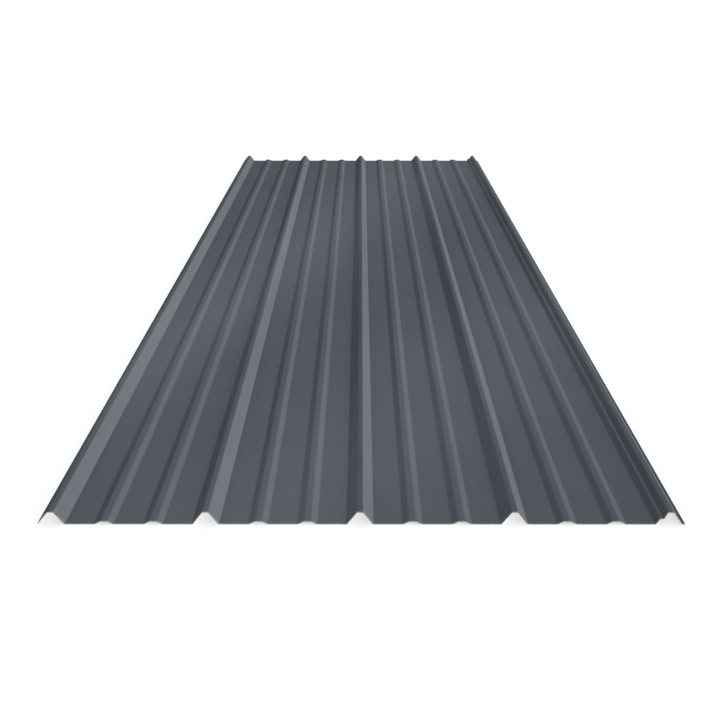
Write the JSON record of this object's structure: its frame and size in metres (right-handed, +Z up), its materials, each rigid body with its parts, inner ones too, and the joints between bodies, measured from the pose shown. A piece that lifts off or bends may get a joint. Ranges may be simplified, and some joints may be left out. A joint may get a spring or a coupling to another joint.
{
  "type": "ribbed metal roofing sheet",
  "caption": "Long thin sheet of dark grey painted steel with tall flat-topped ribs, low stiffening ribs in the pans between them and lapping side edges, for covering roofs and walls.",
  "frame": {"origin": "centre of the sheet's box on the plane of the pans' underside, on which it rests", "axes": "+X across the ribs towards the underlap edge, +Y along the ribs, +Z up out of the weather face"},
  "size_m": [0.9584, 3.048, 0.0205],
  "materials": {
    "painted_steel": "satin"
  },
  "bodies": {
    "root": {"ribbed_sheet": "painted_steel"}
  },
  "joints": []
}
